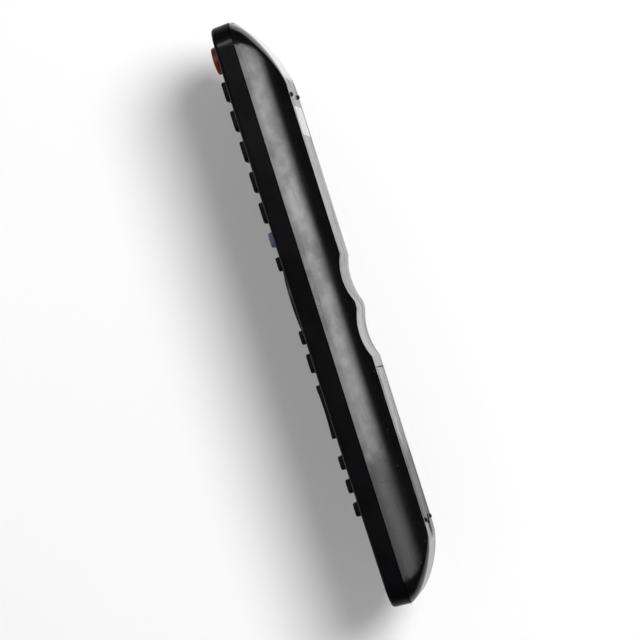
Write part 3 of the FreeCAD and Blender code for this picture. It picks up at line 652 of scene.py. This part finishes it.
def flatPlus(x, y, reach, turn=0):           # two crossing lines without an overlap
    line = printValues["line"]
    arm = reach - line / 2
    pieces = flatBar(x, y, 2 * reach, line, turn)
    for way in (-1, 1):
        off = way * (line / 2 + arm / 2)
        lean = math.radians(turn)
        pieces += flatBar(x - off * math.sin(lean), y + off * math.cos(lean), line, arm, turn)
    return pieces


def flatText(x, y, words, size):
    bpy.ops.object.text_add(location=(0, 0, 0))
    text = bpy.context.object
    text.data.body = words
    text.data.size = size * mm
    text.data.align_x = "CENTER"
    text.data.align_y = "CENTER"
    text.data.resolution_u = printValues["curve"]
    bpy.ops.object.convert(target="MESH")
    text = bpy.context.object
    text.location = (x * mm, y * mm, 0)
    return [text]


def flatRows(x, y, width, pitch, count):
    rows = []
    for place in range(count):
        rows += flatBar(x, y + (place - (count - 1) / 2) * pitch, width, printValues["line"])
    return rows


shapeMakers = {"bar": flatBar, "disc": flatDisc, "triangle": flatTriangle, "ring": flatRing,
               "frame": flatFrame, "plus": flatPlus, "text": flatText, "rows": flatRows}
legends = {
    "power_key": [("ring", 0, -0.1, 2.0, 64), ("bar", 0, 1.1, 0.42, 2.0)],
    "source_key": [("frame", -0.3, 0, 4.2, 3.2), ("triangle", 0.1, 0, 0.85, -90)],
    "upper_key_left": [("frame", 0, 0, 4.4, 2.9), ("bar", 0, 0, 0.42, 2.0)],
    "upper_key_middle": [("rows", 0.5, 0, 3.2, 1.15, 3), ("rows", -1.9, 0, 0.5, 1.15, 3)],
    "upper_key_right": [("ring", 0, 0, 1.75), ("disc", 0, 0, 0.5)],
    "number_key_dash": [("bar", 0, 0, 2.6, 0.5)],
    "number_key_recall": [("bar", 0.35, 0.75, 2.6, 0.42), ("triangle", -1.45, 0.75, 0.75, 90),
                          ("bar", -0.35, -0.75, 2.6, 0.42), ("triangle", 1.45, -0.75, 0.75, -90)],
    "menu_side_key_left": [("rows", 0, 0, 2.9, 0.95, 3)],
    "menu_side_key_right": [("triangle", 0, 0.45, 1.85, 0, 0.62), ("bar", 0, -0.74, 2.0, 1.2)],
    "exit_side_key_left": [("triangle", -0.95, 0, 1.05, 90), ("bar", 0.7, 0, 2.0, 0.42)],
    "exit_side_key_right": [("plus", 0, 0, 1.35, 45)],
    "ok_key": [("text", 0, 0, "OK", 3.3)],
    "nav_ring": [("triangle", 0, 10.0, 1.15, 0), ("triangle", 0, -10.0, 1.15, 180),
                 ("triangle", -10.0, 0, 1.15, 90), ("triangle", 10.0, 0, 1.15, -90)],
    "lower_key_left": [("frame", 0, 0, 3.6, 3.0)],
    "lower_key_middle": [("disc", -1.5, 0, 0.42), ("disc", 0, 0, 0.42), ("disc", 1.5, 0, 0.42)],
    "lower_key_right": [("rows", 0, 0, 3.6, 0.95, 4)],
    "volume_rocker": [("plus", 0, 7.2, 1.35), ("text", 0, 0, "VOL", 2.7),
                      ("bar", 0, -7.2, 2.7, 0.42)],
    "channel_rocker": [("triangle", 0, 7.1, 1.35, 0), ("text", 0, 0, "CH", 2.7),
                       ("triangle", 0, -7.1, 1.35, 180)],
    "mute_key": [("bar", -1.75, 0, 0.9, 1.3), ("triangle", -0.95, 0, 1.35, 90),
                 ("plus", 1.5, 0, 0.95, 45)],
    "info_key": [("bar", 0, -0.55, 0.55, 2.1), ("disc", 0, 1.15, 0.38)],
    "play_key_1_left": [("triangle", -1.0, 0, 1.15, 90), ("triangle", 0.85, 0, 1.15, 90)],
    "play_key_1_middle": [("triangle", -0.1, 0, 1.5, -90)],
    "play_key_1_right": [("triangle", -0.85, 0, 1.15, -90), ("triangle", 1.0, 0, 1.15, -90)],
    "play_key_2_left": [("bar", -1.35, 0, 0.42, 2.3), ("triangle", 0.15, 0, 1.25, 90)],
    "play_key_2_middle": [("bar", -0.65, 0, 0.6, 2.5), ("bar", 0.65, 0, 0.6, 2.5)],
    "play_key_2_right": [("triangle", -0.15, 0, 1.25, -90), ("bar", 1.35, 0, 0.42, 2.3)],
    "play_key_3_left": [("disc", 0, 0, 1.2)],
    "play_key_3_middle": [("bar", 0, 0, 2.2, 2.2)],
    "play_key_3_right": [("triangle", 0, 0.4, 1.3, 0), ("bar", 0, -1.05, 2.3, 0.42)],
}
for digit in "1234567890":
    legends["number_key_" + digit] = [("text", 0, 0, digit, 5.0)]


def printLegend(nodeName, parts):
    low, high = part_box(nodeName)
    middleX = (low[0] + high[0]) / 2
    middleY = (low[1] + high[1]) / 2
    bpy.ops.object.select_all(action="DESELECT")
    flats = []
    for part in parts:
        flats += shapeMakers[part[0]](*part[1:])
    bpy.ops.object.select_all(action="DESELECT")
    for flat in flats:
        flat.select_set(True)
    bpy.context.view_layer.objects.active = flats[0]
    bpy.ops.object.transform_apply(location=True, rotation=True, scale=True)
    if len(flats) > 1:
        bpy.ops.object.join()
    legend = bpy.context.object
    legend.name = nodeName + "_print"
    for point in legend.data.vertices:       # laid on the key's own top
        start = Vector((point.co.x + middleX, point.co.y + middleY,
                        high[2] + printValues["above"] * mm))
        hit, spot = shapes[nodeName].ray_cast(start, Vector((0, 0, -1)))[:2]
        point.co = (spot if hit else start) + Vector((0, 0, printValues["rise"] * mm))
    applyModifier(legend, "SOLIDIFY", {"thickness": printValues["wall"] * mm, "offset": -1})
    dress(legend, nodeName, "pale_ink")


bpy.context.view_layer.update()
for nodeName, parts in legends.items():
    printLegend(nodeName, parts)
print("legends printed:", len(legends))

# Raised dot on the key of the five, to find it by touch
dotValues = {"below": 3.1, "radius": 0.45, "rise": 0.28, "sunk": 0.05, "segments": 24, "rings": 12}


def makeDot(values):
    low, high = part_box("number_key_5")
    middleY = (low[1] + high[1]) / 2
    bpy.ops.object.select_all(action="DESELECT")
    bpy.ops.mesh.primitive_uv_sphere_add(
        segments=values["segments"], ring_count=values["rings"], radius=values["radius"] * mm,
        location=((low[0] + high[0]) / 2, middleY - values["below"] * mm, high[2]))
    dot = bpy.context.object
    dot.name = "touch_dot"
    dot.scale = (1, 1, values["rise"] / values["radius"])
    bpy.ops.object.transform_apply(location=True, rotation=True, scale=True)
    bpy.ops.object.mode_set(mode="EDIT")
    bpy.ops.mesh.select_all(action="SELECT")
    bpy.ops.mesh.bisect(plane_co=(0, 0, high[2] - values["sunk"] * mm), plane_no=(0, 0, 1),
                        clear_inner=True, use_fill=True, threshold=copyValues["near"])
    bpy.ops.object.mode_set(mode="OBJECT")
    bpy.ops.object.shade_smooth_by_angle(angle=softEdge)
    dress(dot, "number_key_5")


makeDot(dotValues)
print("touch dot raised")

# Bare pale label on the flat back
labelValues = {"width": 26.0, "length": 11.1, "y": 68.75, "back": 0.9, "wall": 0.06, "sunk": 0.02,
               "corner": 1.2, "cornerParts": 8}


def makeLabel(values):
    middle = values["back"] - values["wall"] / 2 + values["sunk"] / 2
    bpy.ops.object.select_all(action="DESELECT")
    bpy.ops.mesh.primitive_cube_add(
        size=mm, location=(0, values["y"] * mm, middle * mm),
        scale=(values["width"], values["length"], values["wall"] + values["sunk"]))
    label = bpy.context.object
    label.name = "back_label"
    bpy.ops.object.transform_apply(location=True, rotation=True, scale=True)
    bpy.ops.object.mode_set(mode="EDIT")
    bpy.ops.mesh.select_mode(type="EDGE")
    bpy.ops.mesh.select_all(action="DESELECT")
    bpy.ops.object.mode_set(mode="OBJECT")
    for edge in label.data.edges:            # the four upright corner edges
        ends = [label.data.vertices[index].co for index in edge.vertices]
        edge.select = abs(ends[0].z - ends[1].z) > values["wall"] * 0.5 * mm
    bpy.ops.object.mode_set(mode="EDIT")
    bpy.ops.mesh.bevel(offset=values["corner"] * mm, segments=values["cornerParts"], affect="EDGES")
    bpy.ops.object.mode_set(mode="OBJECT")
    bpy.ops.object.shade_smooth_by_angle(angle=softEdge)
    dress(label, "bottom_case", "label_film")


makeLabel(labelValues)
print("label laid")

# Stage: a pale surface beside the remote's left side, and a floor that only the camera sees
stageValues = {"wallX": -53 * mm, "wallSize": 1.9, "fadeFrom": 0.34, "fadeTo": 0.8, "white": 0.9,
               "floorSize": 1.6, "clouds": 3.0, "cloudShare": 0.03}


def stageFinish(name, values):               # matte from the front, clear from behind and far out
    start = newFinish(name)
    place = start.add("ShaderNodeTexCoord", out="Object")
    reach = start.add("ShaderNodeVectorMath", {"operation": "LENGTH"}, {0: place}, out="Value")
    paper = values["white"] + grainOf(start, values["clouds"]) * values["cloudShare"]
    colour = start.add("ShaderNodeCombineColor", None, {0: paper, 1: paper, 2: paper})
    matte = start.add("ShaderNodeBsdfDiffuse", None, {"Color": colour})
    clear = start.add("ShaderNodeBsdfTransparent")
    behind = start.add("ShaderNodeNewGeometry", out="Backfacing")
    hidden = behind.maths("MAXIMUM", reach.between(values["fadeFrom"], values["fadeTo"]))
    both = start.add("ShaderNodeMixShader", None, {0: hidden, 1: matte, 2: clear})
    start.add("ShaderNodeOutputMaterial", None, {"Surface": both})


def stageSheet(name, size, turn, place):
    bpy.ops.object.select_all(action="DESELECT")
    bpy.ops.mesh.primitive_plane_add(size=size, location=place, rotation=turn)
    sheet = bpy.context.object
    sheet.name = name
    stageFinish(name, stageValues)
    sheet.data.materials.append(finishes[name])
    return sheet


stageSheet("pale_surface", stageValues["wallSize"], (0, math.radians(90), 0),
           (stageValues["wallX"], 0, 0))
floor = stageSheet("pale_floor", stageValues["floorSize"], (0, 0, 0), (0, 0, 0))
floor.visible_diffuse = False
floor.visible_glossy = False
floor.visible_transmission = False
floor.visible_shadow = False

# Pale room: white to the camera, even fill light, reflections bright only beyond the remote
worldValues = {"white": 1.0, "fill": 0.37, "glossFront": 0.015, "glossBack": 0.9, "turnFrom": -0.5,
               "turnTo": -0.1}


def makeWorld(values):
    world = bpy.data.worlds.new("pale_room")
    bpy.context.scene.world = world
    world.use_nodes = True
    world.node_tree.nodes.clear()
    start = Pin(world.node_tree)
    way = axesOf(start.add("ShaderNodeTexCoord", out="Generated"))[0]
    front = way.between(values["turnFrom"], values["turnTo"])
    isCamera = start.add("ShaderNodeLightPath", out="Is Camera Ray")
    isGlossy = isCamera.partner("Is Glossy Ray")
    gloss = values["glossFront"] * front + values["glossBack"] * (1 - front)
    shown = isCamera.maths("MAXIMUM", isCamera.partner("Is Transmission Ray"))
    other = isGlossy * gloss + (1 - isGlossy) * values["fill"]
    strength = shown * values["white"] + (1 - shown) * other
    glow = start.add("ShaderNodeBackground", None, {"Color": (1, 1, 1, 1), "Strength": strength})
    start.add("ShaderNodeOutputWorld", None, {"Surface": glow})


makeWorld(worldValues)

# The key lamp gives light and shadow, and the lamp above lights the key face. Corner and panel only
# show as reflections, at the curved head and along the back's side.
lampValues = {
    "key": dict(way=(0.90, 0.17, -0.45), away=1.2, size=(0.5, 0.5), power=13.3, shape="DISK",
                glossy=False, diffuse=True),
    "above": dict(way=(0.15, 0.05, 1.0), away=1.0, size=(0.5, 0.5), power=2.0, shape="DISK",
                  glossy=True, diffuse=True),
    "corner": dict(way=(0.88, 0.48, 0.2), away=1.2, size=(0.24, 0.24), power=9.0, shape="DISK",
                   glossy=True, diffuse=False),
    "panel": dict(way=(0.86, 0.0, -0.46), away=1.2, size=(1.5, 1.3), power=50.0, shape="RECTANGLE",
                  glossy=True, diffuse=False),
}
panelValues = {"fade": (-1.33, -0.45), "top": (0.15, -0.38), "dim": (-0.06, 0.09), "dimShare": 0.7,
               "head": (0.26, 0.2), "tail": (-0.189, -0.145)}


def shapePanel(lamp, values):                # brightness by height over reach, and along the length
    lamp.use_nodes = True
    lamp.node_tree.nodes.clear()
    start = Pin(lamp.node_tree)
    x, y, z = axesOf(start.add("ShaderNodeNewGeometry", out="Position"))
    lean = z / x
    level = lean.between(*values["fade"]) * lean.between(*values["top"])
    along = values["dimShare"] + (1 - values["dimShare"]) * y.between(*values["dim"])
    ends = y.between(*values["head"]) * y.between(*values["tail"])
    glow = start.add("ShaderNodeEmission", None, {"Strength": level * along * ends})
    start.add("ShaderNodeOutputLight", None, {"Surface": glow})


for lampName, values in lampValues.items():
    lamp = bpy.data.lights.new(lampName + "_light", "AREA")
    lamp.shape = values["shape"]
    lamp.size = values["size"][0]
    if lamp.shape == "RECTANGLE":
        lamp.size_y = values["size"][1]
        shapePanel(lamp, panelValues)
    lamp.energy = values["power"]
    holder = bpy.data.objects.new(lampName + "_light", lamp)
    bpy.context.scene.collection.objects.link(holder)
    way = Vector(values["way"]).normalized()
    holder.location = way * values["away"]
    holder.rotation_euler = way.to_track_quat("Z", "Y").to_euler()
    holder.visible_camera = False
    holder.visible_glossy = values["glossy"]
    holder.visible_diffuse = values["diffuse"]

# Camera at the photo's viewing angle
cameraValues = {"place": (1.3361, -0.02788, -0.1076), "sight": (-0.99552, 0.01888, 0.09258),
                "up": (-0.009916, 0.953548, -0.301086), "lens": 206.1, "sensor": 36.0}
sight = Vector(cameraValues["sight"]).normalized()
right = sight.cross(Vector(cameraValues["up"])).normalized()
up = right.cross(sight)
lens = bpy.data.cameras.new("camera")
lens.lens = cameraValues["lens"]
lens.sensor_width = cameraValues["sensor"]
camera = bpy.data.objects.new("camera", lens)
bpy.context.scene.collection.objects.link(camera)
camera.matrix_world = Matrix.Translation(cameraValues["place"]) @ Matrix(
    (right, up, -sight)).transposed().to_4x4()
bpy.context.scene.camera = camera
bpy.context.scene.view_settings.view_transform = "Standard"
print("stage, lamps and camera set")
